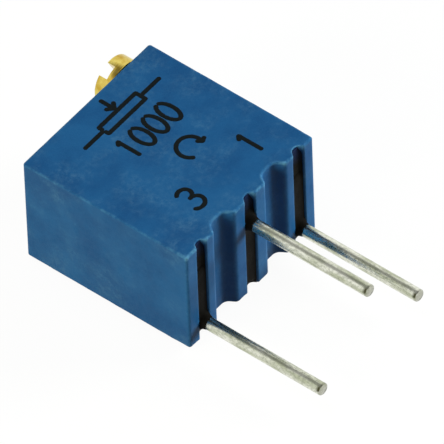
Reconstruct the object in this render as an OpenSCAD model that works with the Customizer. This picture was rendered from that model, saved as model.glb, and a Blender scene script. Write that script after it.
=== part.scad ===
// Square multi-turn trimmer potentiometer, adjusted from the edge opposite its terminals.
// The part lies on its back: +Z out of the marked face, +Y towards the adjustment screw,
// the three terminals along -Y. The origin is the centre of the back face.

/* [Housing] */
// Width of the housing, along the terminal row
body_w = 6.65; // [6.4:0.05:7.2]
// Height of the housing, from the seating ridges to the screw face
body_h = 6.85; // [6.7:0.05:7.4]
// Thickness of the housing, from the back to the marked face
body_t = 4.45; // [4.42:0.01:4.8]
// Bevel on the outer edges
edge_bevel = 0.06; // [0.02:0.01:0.12]
// Thickness of the two side walls
side_wall = 0.525; // [0.4:0.025:0.6]
// Thickness of the wall that carries the terminals, ridges included
seat_wall = 0.875; // [0.8:0.025:1]
// Thickness of the wall that carries the screw, at the substrate
screw_wall = 0.975; // [0.8:0.025:1]
// Thickness of the wall under the marked face
roof = 0.5; // [0.42:0.02:0.56]

/* [Seating ridges] */
// Width of each broad groove at its mouth
groove_w = 1.22; // [0.9:0.02:1.3]
// Depth of each broad groove
groove_depth = 0.37; // [0.2:0.01:0.42]
// How far each groove wall leans in towards the floor
groove_lean = 0.22; // [0.1:0.02:0.3]
// Width of the slot that each terminal leaves through
slot_w = 0.52; // [0.5:0.01:0.6]
// Depth of that slot where it is blind
slot_depth = 0.42; // [0.35:0.01:0.45]
// Corner bevel at the floor of the slot
slot_corner = 0.12; // [0.06:0.01:0.16]

/* [Potting resin] */
// How far the resin lies below the ridges
resin_recess = 0.1; // [0.06:0.01:0.2]
// How much deeper it lies at its upper and lower ends in a slot
resin_sink = 0.16; // [0.08:0.01:0.2]
// Length of an outer slot left open between the resin and the marked face
sink_top_l = 1.3; // [0.3:0.1:1.8]
// Length of the sunk end at the back
sink_back_l = 0.3; // [0.1:0.05:0.4]

/* [Terminals] */
// Spacing of the terminals along the row
pitch = 2.54; // [2.5:0.01:2.56]
// How far the middle terminal stands above the other two
pin_rise = 2.54; // [2.3:0.02:2.56]
// Height of the outer terminals above the back
pin_z = 0.69; // [0.6:0.01:0.8]
// Diameter of a tinned terminal
pin_d = 0.45; // [0.4:0.01:0.48]
// Length of a terminal below the seating ridges
pin_free = 4.95; // [3:0.05:6]
// Thickness of the tin on the free length
tin_t = 0.01; // [0.005:0.005:0.02]
// Bevel at the tip of a terminal
pin_tip = 0.05; // [0.02:0.01:0.08]
// How far the outer terminals reach in past the inner face of their wall
pin_inner = 1.0; // [0.8:0.05:1.3]
// Width of the square stretch by which the resin grips a terminal
grip_w = 0.38; // [0.34:0.01:0.42]
// Length of that square stretch
grip_l = 0.58; // [0.54:0.01:0.6]
// Bend radius of the middle terminal, at its centre line
bend_r = 0.35; // [0.3:0.01:0.4]

/* [Adjustment screw] */
// Distance of the screw from the centre plane
screw_x = 2.1; // [2.05:0.01:2.15]
// Height of the screw above the back
screw_z = 3.42; // [3.36:0.01:3.43]
// Diameter of the screw head
head_d = 1.76; // [1.6:0.02:1.8]
// Thickness of the screw head
head_h = 0.6; // [0.5:0.02:0.8]
// Gap under the screw head
head_gap = 0.09; // [0.03:0.01:0.15]
// Width of the driver slot
driver_w = 0.5; // [0.3:0.02:0.6]
// Depth of the driver slot
driver_depth = 0.34; // [0.25:0.01:0.4]
// Direction of the driver slot at rest, from the marked-face direction
driver_turn = 26; // [0:1:90]
// Diameter of the shank in its bore
shank_d = 1.42; // [1.34:0.02:1.44]
// Running clearance of the screw in its bores
run_clear = 0.04; // [0.02:0.005:0.06]
// Diameter of the tail in its blind bore
tail_d = 0.78; // [0.7:0.02:0.8]
// Length of the tail in its blind bore
tail_l = 0.8; // [0.6:0.05:0.85]
// Section diameter of the sealing ring
seal_d = 0.23; // [0.2:0.01:0.25]
// Thickness of the retaining clip
clip_t = 0.2; // [0.16:0.01:0.24]
// Width of the neck that the clip holds
neck_d = 0.86; // [0.8:0.02:0.9]

/* [Worm drive] */
// Number of teeth on the worm wheel
wheel_teeth = 18; // [16:1:20]
// Pitch radius of the worm
worm_pitch_r = 0.56; // [0.54:0.01:0.58]
// Height of a tooth above its pitch line
tooth_top = 0.14; // [0.1:0.01:0.15]
// Depth of a tooth below its pitch line
tooth_root = 0.17; // [0.16:0.01:0.19]
// Free play between worm and wheel
backlash = 0.06; // [0.04:0.01:0.08]
// Length of the worm thread
worm_l = 3; // [2:0.1:3.2]
// Width of the toothed rim of the wheel
rim_t = 0.96; // [0.7:0.02:1]
// Diameter of the pivot that carries the wheel
pivot_d = 0.9; // [0.7:0.02:1]
// Clearance around the wheel in its chamber
chamber_clear = 0.12; // [0.08:0.01:0.15]

/* [Element] */
// Thickness of the ceramic substrate
sub_t = 0.55; // [0.45:0.01:0.6]
// Gap around the substrate
sub_gap = 0.08; // [0.04:0.01:0.1]
// Thickness of the printed films
film_t = 0.03; // [0.02:0.005:0.04]
// Mean radius of the resistor track
track_r = 1.35; // [1.2:0.01:1.36]
// Width of the resistor track
track_w = 0.5; // [0.4:0.02:0.52]
// Mean radius of the collector ring
collector_r = 0.5; // [0.44:0.01:0.52]
// Width of the collector ring
collector_w = 0.4; // [0.3:0.02:0.42]
// Half the angle left open between the ends of the track
track_open = 36; // [30:1:40]
// Thickness of the wiper spring
spring_t = 0.08; // [0.06:0.01:0.1]
// Width of the wiper arms
arm_w = 0.28; // [0.2:0.02:0.3]
// Thickness of the solder under a terminal
solder_t = 0.02; // [0.01:0.005:0.04]

/* [Hidden] */

eps = 0.01;                       // overshoot of a cutting shape
lap = 0.1;                        // overlap of two shapes that are joined
round_fn = 64;                    // facets that the preview gives a round form
seat_y = -body_h / 2;             // plane of the seating ridges
face_y = body_h / 2;              // plane of the screw face
pocket_x = body_w / 2 - side_wall;
pocket_y0 = seat_y + seat_wall;
pocket_y1 = face_y - screw_wall;
roof_z = body_t - roof;

pin_r = pin_d / 2;
wire_r = pin_r - tin_t;           // the terminal inside the housing is bare wire
pin2_z = pin_z + pin_rise;
grip_in = 0.03;                   // the square stretch starts this far inside the resin
grip_y0 = seat_y + resin_recess + grip_in;
leg_y = pocket_y0 + bend_r;       // where the middle terminal turns down to the substrate
sub_z0 = pin_z + pin_r + solder_t + film_t;
sub_z1 = sub_z0 + sub_t;
film_z = sub_z1 + film_t;
sub_y0 = pocket_y0 + sub_gap;
bay_clear = 0.035;                // beside an outer terminal in the cavity
bay_x = pitch + pin_r + bay_clear;
bay_l = 1.45;                     // length of that end of the cavity
bay_h = 0.45;                     // room there above the substrate
well_lap = 0.3;                   // how far the middle terminal's well opens into the wheel chamber

tooth_slant = tan(20);
wheel_pitch_r = screw_x - worm_pitch_r;
wheel_r = wheel_pitch_r + tooth_top;
worm_r = worm_pitch_r + tooth_top;
worm_core_r = worm_pitch_r - tooth_root;
worm_lead = 2 * PI * wheel_pitch_r / wheel_teeth;
lead_angle = atan(worm_lead / (2 * PI * worm_pitch_r));
chamber_r = wheel_r + chamber_clear;
end_play = 0.02;                  // of the wheel between the roof and the wiper
rim_z1 = roof_z - end_play;
rim_z0 = rim_z1 - rim_t;
rim_band = 0.07;                  // solid band between the teeth and the web
web_r = wheel_pitch_r - tooth_root - rim_band;
web_t = 0.42;
hub_r = 0.82;
spring_room = 0.555;              // from the tracks up to the hub that carries the wiper spring
hub_z0 = film_z + spring_room;
stake_r = 0.1;
stake_x = 0.52;
stake_head = 0.05;                // height of a stake below the spring
pivot_past_rim = 0.3;             // how far the pivot reaches below the rim
pivot_l = rim_t + pivot_past_rim;
pivot_end_clear = 0.05;

bore_r = max(shank_d / 2, worm_r) + run_clear;
head_y0 = face_y + head_gap;
head_y1 = head_y0 + head_h;
seal_w = 0.32;                    // width of the groove for the sealing ring
seal_in = 0.42;                   // depth of that groove's middle below the screw face
seal_y = face_y - seal_in;
seal_clear = 0.005;               // around the section of the ring
seal_groove_r = bore_r - seal_d - 2 * seal_clear;
clip_play = 0.025;
clip_y = face_y - screw_wall - clip_t / 2;
clip_half_w = 0.66;
clip_top = 0.6;                   // height of the clip above the screw axis
clip_foot = 1.5;                  // and its reach below it
neck_r = neck_d / 2;
tail_y0 = -worm_l / 2 - tail_l;
tail_bore_y1 = lap - chamber_r;
shank_cone = 0.1;                 // length of the cone from the core of the thread to the shank
head_bevel = 0.05;
thread_steps = 24;                // rings in one turn of the thread
thread_turns = worm_l / worm_lead;
thread_fade = 4;                  // rings over which the thread rises at each end

film_edge = 0.05;                 // bare ceramic between a film and an edge that it stops at
pad_in = 0.44;                    // reach of an end pad from its terminal towards the middle
pad_out = 0.16;                   // and towards the side
pad_top_l = 0.72;                 // length of an end pad on the upper side
pad_l = 1.1;                      // and on the underside
end_lead_l = 0.6;                 // run of an end lead before it turns towards its pad
end_lead_step = 0.2;              // how much lower its inner edge meets the pad
lead_w = 0.4;                     // width of the collector's lead
lead_pad_w = 0.84;
lead_pad_l = 0.62;
solder_in = 0.1;                  // from the substrate's edge to the solder on an end pad
joint_h = 0.3;                    // height of the solder around the middle terminal
joint_w = 0.16;                   // and its reach around the wire at the foot
contact_gap = 0.01;               // between a wiper tip and its track
tip_r = 0.11;
arm_root = 0.12;                  // flat length of a wiper arm before it bends down
window_gap = 0.08;                // beside the arm in the window of the spring plate
window_y1 = 0.25;
plate_band = 0.14;                // of the spring plate around the end of its window

// A box from one corner to the other
module span(a, b) {
  translate(a) cube(b - a);
}

// A round bar along +Y
module bar_y(r, x, z, y0, y1) {
  translate([x, y1, z]) rotate([90, 0, 0]) cylinder(r = r, h = y1 - y0, $fn = round_fn);
}

// Rectangle with bevelled corners
module bevelled(w, h, c) {
  polygon([[-w / 2 + c, -h / 2], [w / 2 - c, -h / 2], [w / 2, -h / 2 + c], [w / 2, h / 2 - c],
           [w / 2 - c, h / 2], [-w / 2 + c, h / 2], [-w / 2, h / 2 - c], [-w / 2, -h / 2 + c]]);
}

// ---- Housing ----

// Plan of one terminal slot, open at the seating plane
module slot_plan(x) {
  translate([x, seat_y])
    polygon([[-slot_w / 2, -eps], [slot_w / 2, -eps], [slot_w / 2, slot_depth - slot_corner],
             [slot_w / 2 - slot_corner, slot_depth], [-slot_w / 2 + slot_corner, slot_depth],
             [-slot_w / 2, slot_depth - slot_corner]]);
}

// Plan of one broad groove
module groove_plan(x) {
  lean = groove_lean / groove_depth * eps;
  translate([x, seat_y])
    polygon([[-groove_w / 2 - lean, -eps], [groove_w / 2 + lean, -eps],
             [groove_w / 2 - groove_lean, groove_depth], [-groove_w / 2 + groove_lean, groove_depth]]);
}

module housing_block() {
  intersection() {
    linear_extrude(body_t) bevelled(body_w, body_h, edge_bevel);
    translate([0, body_h / 2, body_t / 2]) rotate([90, 0, 0])
      linear_extrude(body_h) bevelled(body_w, body_t, edge_bevel);
    translate([-body_w / 2, 0, body_t / 2]) rotate([90, 0, 90])
      linear_extrude(body_w) bevelled(body_h, body_t, edge_bevel);
  }
}

// Plan of the cavity behind the wheel, wider at the terminals if they need it, less a gap all round
module cavity_plan(gap) {
  translate([gap - pocket_x, pocket_y0 + gap]) square([2 * (pocket_x - gap), pocket_y1 - pocket_y0 - 2 * gap]);
  bay_plan(gap);
}

module bay_plan(gap) {
  half = max(bay_x, pocket_x) - gap;
  translate([-half, pocket_y0 + gap]) square([2 * half, bay_l - 2 * gap]);
}

// Way through the wall for a terminal, from the back up to just over the wire
module terminal_way(x, z) {
  span([x - slot_w / 2, seat_y + slot_depth - slot_corner, -eps],
       [x + slot_w / 2, pocket_y0 + eps, z + slot_w / 2]);
}

module screw_bores() {
  bar_y(bore_r, screw_x, screw_z, tail_bore_y1, face_y + eps);
  bar_y(tail_d / 2 + run_clear, screw_x, screw_z, tail_y0 - run_clear, tail_bore_y1 + eps);
}

module clip_pocket() {
  span([screw_x - clip_half_w - clip_play, clip_y - clip_t / 2 - clip_play, sub_z0],
       [screw_x + clip_half_w + clip_play, clip_y + clip_t / 2 + clip_play, screw_z + clip_top + clip_play]);
}

module pivot() {
  translate([0, 0, roof_z - pivot_l]) cylinder(d = pivot_d, h = pivot_l + eps, $fn = round_fn);
}

module housing() {
  color([0.14, 0.36, 0.60]) {
    difference() {
      housing_block();
      translate([0, 0, -eps]) linear_extrude(body_t + 2 * eps) {
        for (x = [-pitch, 0, pitch]) slot_plan(x);
        for (x = [-pitch / 2, pitch / 2]) groove_plan(x);
      }
      translate([0, 0, -eps]) linear_extrude(sub_z1 + eps) cavity_plan(0);
      translate([0, 0, sub_z1 - eps]) linear_extrude(bay_h + eps) bay_plan(0);
      translate([0, 0, sub_z1 - eps]) cylinder(r = chamber_r, h = roof_z - sub_z1 + eps, $fn = round_fn);
      for (x = [-pitch, pitch]) terminal_way(x, pin_z);
      terminal_way(0, pin2_z);
      span([-slot_w / 2, pocket_y0, sub_z1], [slot_w / 2, well_lap - chamber_r, pin2_z + slot_w / 2]);
      screw_bores();
      clip_pocket();
    }
    pivot();
  }
}

// ---- Potting resin ----

// Outline of the resin at a terminal, seen from the side, up to the height where it stops
module resin_side(z_end) {
  polygon([[seat_y + resin_recess + resin_sink, 0], [seat_y + resin_recess, sink_back_l],
           [seat_y + resin_recess, z_end - resin_sink], [seat_y + resin_recess + resin_sink, z_end],
           [pocket_y0, z_end], [pocket_y0, 0]]);
}

// Resin round one terminal, in its slot and in the way through the wall
module resin_column(x, z, z_end) {
  intersection() {
    translate([-body_w / 2, 0, 0]) rotate([90, 0, 90]) linear_extrude(body_w) resin_side(z_end);
    union() {
      linear_extrude(body_t) slot_plan(x);
      terminal_way(x, z);
    }
  }
}

module potting_resin() {
  color([0.06, 0.055, 0.05]) difference() {
    union() {
      linear_extrude(sub_z0) cavity_plan(0);
      for (x = [-pitch, pitch]) resin_column(x, pin_z, body_t - sink_top_l);
      resin_column(0, pin2_z, pin2_z + slot_w / 2 + resin_sink);
    }
    for (x = [-pitch, pitch]) outer_wire(x);
    middle_wire();
    for (x = [-pitch, pitch]) tinned_end(x, pin_z);
    tinned_end(0, pin2_z);
    for (side = [-1, 1]) {
      solder_block(side);
      end_pad_film(side);
    }
  }
}

// ---- Screw ----

function thread_r(k, n) = worm_core_r + (worm_r - worm_core_r) * min(1, (k + 0.5) / thread_fade, (n - k + 0.5) / thread_fade);
function thread_half(r) = (worm_lead - backlash) / 4 + (worm_pitch_r - r) * tooth_slant;
function thread_point(r, turn, y) = [r * sin(turn), worm_lead * (turn + 90) / 360 + y, r * cos(turn)];
function thread_ring(k, n) =
  let (turn = (k / thread_steps - thread_turns / 2) * 360,
       r0 = worm_core_r - lap / 2, r1 = thread_r(k, n), w0 = thread_half(worm_core_r), w1 = thread_half(r1))
  [thread_point(r0, turn, -w0), thread_point(r1, turn, -w1), thread_point(r1, turn, w1), thread_point(r0, turn, w0)];

module thread() {
  n = round(thread_turns * thread_steps);
  points = [for (k = [0:n]) each thread_ring(k, n)];
  faces = [for (k = [0:n - 1], s = [0:3])
             let (a = 4 * k + s, b = 4 * k + (s + 1) % 4)
             each [[a, b, b + 4], [a, b + 4, a + 4]]];
  polyhedron(points, concat([[3, 2, 1], [3, 1, 0]], faces, [[4 * n, 4 * n + 1, 4 * n + 2], [4 * n, 4 * n + 2, 4 * n + 3]]));
}

// Lathe outline of the screw, distance from the axis against height along +Y
module screw_outline() {
  core = min(tail_d / 2, worm_core_r);
  clip_y0 = clip_y - clip_t / 2 - clip_play;
  clip_y1 = clip_y + clip_t / 2 + clip_play;
  polygon([[0, tail_y0], [core, tail_y0], [core, -worm_l / 2], [worm_core_r, -worm_l / 2],
           [worm_core_r, worm_l / 2 + lap], [shank_d / 2, worm_l / 2 + lap + shank_cone], [shank_d / 2, clip_y0],
           [neck_r, clip_y0], [neck_r, clip_y1], [shank_d / 2, clip_y1],
           [shank_d / 2, seal_y - seal_w / 2], [seal_groove_r, seal_y - seal_w / 2],
           [seal_groove_r, seal_y + seal_w / 2], [shank_d / 2, seal_y + seal_w / 2],
           [shank_d / 2, head_y0], [head_d / 2 - head_bevel, head_y0], [head_d / 2, head_y0 + head_bevel],
           [head_d / 2, head_y1 - head_bevel], [head_d / 2 - head_bevel, head_y1], [0, head_y1]]);
}

module adjustment_screw() {
  color([0.83, 0.66, 0.28]) translate([screw_x, 0, screw_z]) {
    difference() {
      rotate([-90, 0, 0]) rotate_extrude($fn = round_fn) screw_outline();
      translate([0, head_y1 - driver_depth, 0]) rotate([0, -driver_turn, 0])
        translate([-driver_w / 2, 0, -head_d]) cube([driver_w, driver_depth + eps, 2 * head_d]);
    }
    thread();
  }
}

module screw_seal_ring() {
  color([0.45, 0.13, 0.09]) translate([screw_x, seal_y, screw_z]) rotate([90, 0, 0])
    rotate_extrude($fn = round_fn) translate([seal_groove_r + seal_d / 2 + seal_clear, 0]) circle(d = seal_d, $fn = 24);
}

module screw_retaining_clip() {
  gap = neck_r + run_clear;
  color([0.72, 0.73, 0.75]) difference() {
    span([screw_x - clip_half_w, clip_y - clip_t / 2, screw_z - clip_foot],
         [screw_x + clip_half_w, clip_y + clip_t / 2, screw_z + clip_top]);
    bar_y(gap, screw_x, screw_z, clip_y - clip_t, clip_y + clip_t);
    span([screw_x - gap, clip_y - clip_t, screw_z - clip_foot - eps], [screw_x + gap, clip_y + clip_t, screw_z]);
  }
}

// ---- Rotor ----

// Space between two teeth, square to the worm's thread
module tooth_space() {
  half = (worm_lead + backlash) / 4;
  low = -tooth_root;
  high = tooth_top + lap;
  translate([wheel_pitch_r, 0, screw_z]) rotate([-lead_angle, 0, 0])
    linear_extrude(3 * rim_t, center = true)
      polygon([[low, -half - low * tooth_slant], [high, -half - high * tooth_slant],
               [high, half + high * tooth_slant], [low, half + low * tooth_slant]]);
}

module worm_wheel() {
  color([0.86, 0.84, 0.78]) {
    difference() {
      union() {
        difference() {
          translate([0, 0, rim_z0]) cylinder(r = wheel_r, h = rim_t, $fn = round_fn);
          for (i = [0:wheel_teeth - 1]) rotate([0, 0, i * 360 / wheel_teeth]) tooth_space();
        }
        translate([0, 0, rim_z0 - web_t]) cylinder(r = web_r, h = web_t + lap, $fn = round_fn);
        translate([0, 0, hub_z0]) cylinder(r = hub_r, h = rim_z0 - hub_z0, $fn = round_fn);
      }
      translate([0, 0, roof_z - pivot_l - pivot_end_clear])
        cylinder(r = pivot_d / 2 + run_clear, h = pivot_l + pivot_end_clear, $fn = round_fn);
    }
    for (x = [-stake_x, stake_x]) translate([x, 0, hub_z0 - spring_t - stake_head])
      cylinder(r = stake_r, h = spring_t + stake_head + lap, $fn = round_fn);
  }
}

// Side view of a wiper arm that drops from the spring plate to a tip
module arm_side(y0, y1, z1) {
  polygon([[y0, hub_z0 - spring_t], [y0, hub_z0], [y0 + sign(y1 - y0) * arm_root, hub_z0], [y1, z1 + spring_t], [y1, z1]]);
}

module wiper_arm(y0, y1) {
  tip_z = film_z + contact_gap;
  translate([-arm_w / 2, 0, 0]) rotate([90, 0, 90]) linear_extrude(arm_w) arm_side(y0, y1, tip_z + tip_r);
  translate([0, y1, tip_z + tip_r]) rotate([0, 90, 0]) cylinder(r = tip_r, h = arm_w, center = true, $fn = round_fn);
}

module wiper_spring() {
  window_w = arm_w + 2 * window_gap;
  color([0.86, 0.74, 0.42]) {
    difference() {
      translate([0, 0, hub_z0 - spring_t]) cylinder(r = hub_r, h = spring_t, $fn = round_fn);
      span([-window_w / 2, plate_band - hub_r, hub_z0 - 2 * spring_t], [window_w / 2, window_y1, hub_z0 + eps]);
      for (x = [-stake_x, stake_x]) translate([x, 0, hub_z0 - 2 * spring_t])
        cylinder(r = stake_r, h = 3 * spring_t, $fn = round_fn);
    }
    wiper_arm(hub_r - lap, track_r);
    wiper_arm(window_y1 + lap, -collector_r);
  }
}

// ---- Element ----

module substrate() {
  color([0.93, 0.92, 0.88]) translate([0, 0, sub_z0]) linear_extrude(sub_t) cavity_plan(sub_gap);
}

// Plan of a ring with a gap of the given half-angle, centred on -Y
module open_ring(r, w, half_gap) {
  rotate([0, 0, half_gap - 90]) rotate_extrude(angle = 360 - 2 * half_gap, $fn = round_fn)
    translate([r - w / 2, 0]) square([w, film_t]);
}

module resistor_track() {
  color([0.12, 0.11, 0.11]) translate([0, 0, sub_z1]) open_ring(track_r, track_w, track_open);
}

module collector_track() {
  color([0.74, 0.74, 0.72]) translate([0, 0, sub_z1]) {
    difference() {
      cylinder(r = collector_r + collector_w / 2, h = film_t, $fn = round_fn);
      translate([0, 0, -eps]) cylinder(r = collector_r - collector_w / 2, h = film_t + 2 * eps, $fn = round_fn);
    }
    span([-lead_w / 2, sub_y0 + film_edge, 0], [lead_w / 2, -collector_r, film_t]);
    span([-lead_pad_w / 2, sub_y0 + film_edge, 0], [lead_pad_w / 2, sub_y0 + film_edge + lead_pad_l, film_t]);
  }
}

// Film that joins one end of the track to the underside, round the substrate's edge
module end_pad_film(side) {
  toward_end = [sin(track_open), -cos(track_open)];
  inner = (track_r - track_w / 2) * toward_end;
  outer = (track_r + track_w / 2) * toward_end;
  x0 = pitch - pad_in;
  x1 = pitch + pad_out;
  top_y = sub_y0 + pad_top_l;
  mirror([side < 0 ? 1 : 0, 0, 0]) {
    translate([0, 0, sub_z1]) linear_extrude(film_t)
      polygon([inner, outer, [x1, top_y], [x1, sub_y0], [x0, sub_y0], [x0, top_y - end_lead_step],
               inner - [0, end_lead_l]]);
    span([x0, sub_y0 - film_t, sub_z0 - film_t], [x1, sub_y0, sub_z1 + film_t]);
    span([x0, sub_y0 - eps, sub_z0 - film_t], [x1, sub_y0 + pad_l, sub_z0]);
  }
}

module end_pad_1() {
  color([0.74, 0.74, 0.72]) end_pad_film(1);
}

module end_pad_3() {
  color([0.74, 0.74, 0.72]) end_pad_film(-1);
}

// ---- Terminals ----

// Square stretch that keeps a terminal from turning or pulling out
module wire_grip(x, z) {
  span([x - grip_w / 2, grip_y0, z - grip_w / 2], [x + grip_w / 2, grip_y0 + grip_l, z + grip_w / 2]);
}

// Outer terminal inside the resin and the housing
module outer_wire(x) {
  wire_grip(x, pin_z);
  bar_y(wire_r, x, pin_z, grip_y0 + grip_l - eps, pocket_y0 + pin_inner);
}

// Middle terminal: in through the wall, then down to the substrate
module middle_wire() {
  foot_z = film_z + solder_t;
  wire_grip(0, pin2_z);
  bar_y(wire_r, 0, pin2_z, grip_y0 + grip_l - eps, leg_y - bend_r);
  translate([0, leg_y - bend_r, pin2_z - bend_r]) rotate([90, 0, 90]) rotate_extrude(angle = 90, $fn = round_fn)
    translate([bend_r, 0]) circle(r = wire_r, $fn = round_fn);
  translate([0, leg_y, foot_z]) cylinder(r = wire_r, h = pin2_z - bend_r - foot_z, $fn = round_fn);
}

// Tinned length outside the resin, with a bevelled tip
module tinned_end(x, z) {
  l = pin_free + grip_y0 - seat_y;
  translate([x, grip_y0, z]) rotate([90, 0, 0]) rotate_extrude($fn = round_fn)
    polygon([[0, 0], [pin_r, 0], [pin_r, l - pin_tip], [pin_r - pin_tip, l], [0, l]]);
}

module outer_pin(x) {
  color([0.80, 0.80, 0.77]) {
    outer_wire(x);
    tinned_end(x, pin_z);
  }
}

module terminal_pin_1() {
  outer_pin(pitch);
}

module terminal_pin_3() {
  outer_pin(-pitch);
}

module terminal_pin_2() {
  color([0.80, 0.80, 0.77]) {
    middle_wire();
    tinned_end(0, pin2_z);
  }
}

// Solder between an outer terminal and the pad above it
module solder_block(side) {
  y0 = sub_y0 + solder_in;
  y1 = sub_y0 + pad_l - film_edge;
  top = sub_z0 - film_t;
  half = wire_r + solder_t;
  half_top = min(pad_in, pad_out);
  translate([side * pitch, y1, 0]) rotate([90, 0, 0]) linear_extrude(y1 - y0)
    polygon([[-half_top, top], [-half, pin_z], [half, pin_z], [half_top, top]]);
}

module solder_joint(side) {
  color([0.72, 0.72, 0.70]) difference() {
    solder_block(side);
    outer_wire(side * pitch);
  }
}

module solder_joint_1() {
  solder_joint(1);
}

module solder_joint_3() {
  solder_joint(-1);
}

module solder_joint_2() {
  color([0.72, 0.72, 0.70]) translate([0, leg_y, film_z]) difference() {
    cylinder(r1 = min(wire_r + joint_w, bend_r - eps), r2 = wire_r + solder_t, h = joint_h, $fn = round_fn);
    translate([0, 0, solder_t]) cylinder(r = wire_r, h = joint_h, $fn = round_fn);
  }
}

housing();
potting_resin();
adjustment_screw();
screw_seal_ring();
screw_retaining_clip();
worm_wheel();
wiper_spring();
substrate();
resistor_track();
collector_track();
end_pad_1();
end_pad_3();
terminal_pin_1();
terminal_pin_2();
terminal_pin_3();
solder_joint_1();
solder_joint_2();
solder_joint_3();
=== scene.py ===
import math

import bmesh
import bpy
import numpy
from mathutils import Matrix, Vector, geometry, noise


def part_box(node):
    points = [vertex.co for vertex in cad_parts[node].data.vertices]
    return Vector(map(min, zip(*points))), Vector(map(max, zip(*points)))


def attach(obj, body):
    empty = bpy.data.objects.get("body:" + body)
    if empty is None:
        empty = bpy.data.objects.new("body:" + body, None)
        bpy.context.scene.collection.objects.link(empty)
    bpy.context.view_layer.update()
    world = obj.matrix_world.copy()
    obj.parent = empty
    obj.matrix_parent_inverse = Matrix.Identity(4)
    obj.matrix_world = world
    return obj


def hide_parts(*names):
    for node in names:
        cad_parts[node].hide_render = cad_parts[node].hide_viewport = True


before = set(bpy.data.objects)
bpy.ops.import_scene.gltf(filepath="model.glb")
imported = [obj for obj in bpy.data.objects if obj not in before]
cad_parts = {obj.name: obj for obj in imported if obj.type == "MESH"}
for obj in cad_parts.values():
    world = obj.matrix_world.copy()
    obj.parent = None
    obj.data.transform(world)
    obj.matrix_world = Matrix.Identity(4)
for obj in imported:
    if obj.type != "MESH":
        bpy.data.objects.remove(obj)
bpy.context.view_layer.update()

mm = 0.001                                   # sizes below are in millimetres, meshes end up in metres
mergeDistance = 1e-7                         # in metres


def nodeBox(node):
    low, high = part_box(node)
    return low / mm, high / mm


# Main sizes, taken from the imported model
caseLow, caseHigh = nodeBox("housing")
width, thick = (caseHigh - caseLow).xz
seatY = caseLow.y                            # plane of the seating ridges
faceY = caseHigh.y                           # plane that the screw comes out of
topZ = caseHigh.z                            # marked face
outerLow, outerHigh = nodeBox("terminal_pin_1")
middleLow, middleHigh = nodeBox("terminal_pin_2")
pitch = (outerLow.x + outerHigh.x) / 2
wireRadius = (outerHigh.x - outerLow.x) / 2
outerZ = (outerLow.z + outerHigh.z) / 2
middleZ = middleHigh.z - wireRadius
wires = ((-pitch, outerZ), (0, middleZ), (pitch, outerZ))
screwLow, screwHigh = nodeBox("adjustment_screw")
headRadius = (screwHigh.x - screwLow.x) / 2
screwX = (screwLow.x + screwHigh.x) / 2
screwZ = (screwLow.z + screwHigh.z) / 2
resinHigh = nodeBox("potting_resin")[1]
substrateLow = nodeBox("substrate")[0]


# Meshes and objects

def addObject(name, data):
    obj = bpy.data.objects.new(name, data)
    bpy.context.scene.collection.objects.link(obj)
    return obj


def meshFrom(name, points, faces):
    mesh = bpy.data.meshes.new(name)
    mesh.from_pydata([tuple(Vector(p) * mm) for p in points], [], faces)
    mesh.validate()
    return mesh


def meshOf(name, work):
    mesh = bpy.data.meshes.new(name)
    work.to_mesh(mesh)
    work.free()
    return mesh


def tidyMesh(mesh, outwards=True):
    work = bmesh.new()
    work.from_mesh(mesh)
    bmesh.ops.remove_doubles(work, verts=work.verts, dist=mergeDistance)
    if outwards:
        bmesh.ops.recalc_face_normals(work, faces=work.faces)
    work.to_mesh(mesh)
    work.free()
    return mesh


def settle(obj):
    # the modifiers' result becomes the object's own plain mesh
    mesh = bpy.data.meshes.new_from_object(obj.evaluated_get(bpy.context.evaluated_depsgraph_get()))
    if obj.type == "MESH":
        obj.modifiers.clear()
        obj.data = mesh
        return obj
    name = obj.name
    bpy.data.objects.remove(obj)
    return addObject(name, mesh)


def cut(obj, tool):
    modifier = obj.modifiers.new("cut", "BOOLEAN")
    modifier.operation = "DIFFERENCE"
    modifier.solver = "EXACT"
    modifier.object = tool
    settle(obj)
    bpy.data.objects.remove(tool)
    return obj


def block(name, low, high):
    work = bmesh.new()
    centre, size = (Vector(low) + Vector(high)) / 2 * mm, (Vector(high) - Vector(low)) * mm
    bmesh.ops.create_cube(work, size=1, matrix=Matrix.Translation(centre) @ Matrix.Diagonal((*size, 1)))
    return addObject(name, meshOf(name, work))


def finishPiece(obj, body, material, sharpFrom, replaced=(), weighted=False):
    obj.data.shade_smooth()
    obj.data.set_sharp_from_angle(angle=math.radians(sharpFrom))
    if weighted:
        modifier = obj.modifiers.new("weightedNormals", "WEIGHTED_NORMAL")
        modifier.keep_sharp = True
        modifier.weight = 100
        settle(obj)
    obj.data.materials.clear()
    obj.data.materials.append(material)
    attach(obj, body)
    if replaced:
        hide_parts(*replaced)


# Outlines with rounded corners, and faces between them

outlineValues = {
    "straightTurn": 0.01,                    # a corner that turns less, in radians, gets no fillet
    # flat faces: shares of band and spacing that points keep clear, and the rows' step
    "bandKept": 0.9, "bandGap": 0.6, "rowStep": 0.87, "tolerance": 1e-6,
}


def smoothStep(value):
    value = min(1, max(0, value))
    return value * value * (3 - 2 * value)


def roundCorner(before, corner, after, radius, steps):
    # points of a fillet with the direction that faces away from the solid, which lies on the left
    inward, onward = (corner - before).normalized(), (after - corner).normalized()
    turn = math.atan2(inward.x * onward.y - inward.y * onward.x, inward.dot(onward))
    start = math.atan2(-inward.x, inward.y)
    if radius <= 0 or abs(turn) < outlineValues["straightTurn"]:
        facing = start + turn / 2
        return [(corner, Vector((math.cos(facing), math.sin(facing))))]
    side = 1 if turn > 0 else -1
    left = Vector((-inward.y, inward.x)) * side
    centre = corner - inward * radius * math.tan(abs(turn) / 2) + left * radius
    made = []
    for k in range(steps + 1):
        facing = start + turn * k / steps
        away = Vector((math.cos(facing), math.sin(facing)))
        made.append((centre + away * radius * side, away))
    return made


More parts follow.
